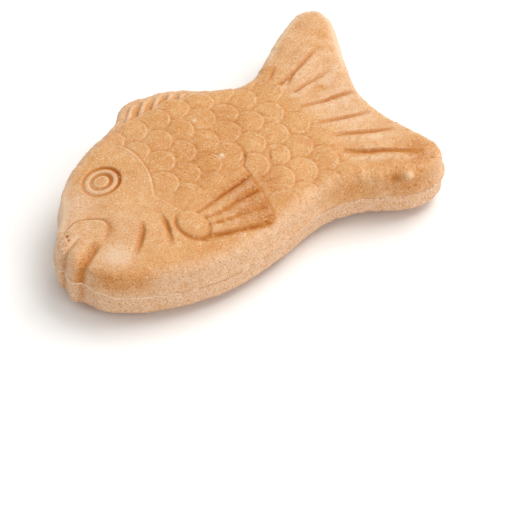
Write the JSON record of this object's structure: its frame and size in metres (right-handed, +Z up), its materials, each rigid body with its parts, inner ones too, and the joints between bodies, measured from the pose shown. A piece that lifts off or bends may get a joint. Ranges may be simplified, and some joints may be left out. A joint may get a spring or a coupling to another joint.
{
  "type": "taiyaki",
  "caption": "Fish-shaped filled wafer cake lying on its side: two moulded crisp wafers joined at a seam, with scales, fins, gill and tail rays in relief.",
  "frame": {"origin": "below the middle of the outline, on the surface that the fish lies on", "axes": "+X towards the tail, +Y towards the back fin, +Z up"},
  "size_m": [0.1482, 0.0918, 0.0247],
  "materials": {
    "baked_wafer_upper": "matt baked wafer, finely speckled, a little darker in the moulded lines",
    "baked_wafer_lower": "matt baked wafer, finely speckled, a little darker in the moulded lines"
  },
  "bodies": {
    "root": {"upper_wafer": "baked_wafer_upper", "lower_wafer": "baked_wafer_lower"}
  },
  "joints": []
}
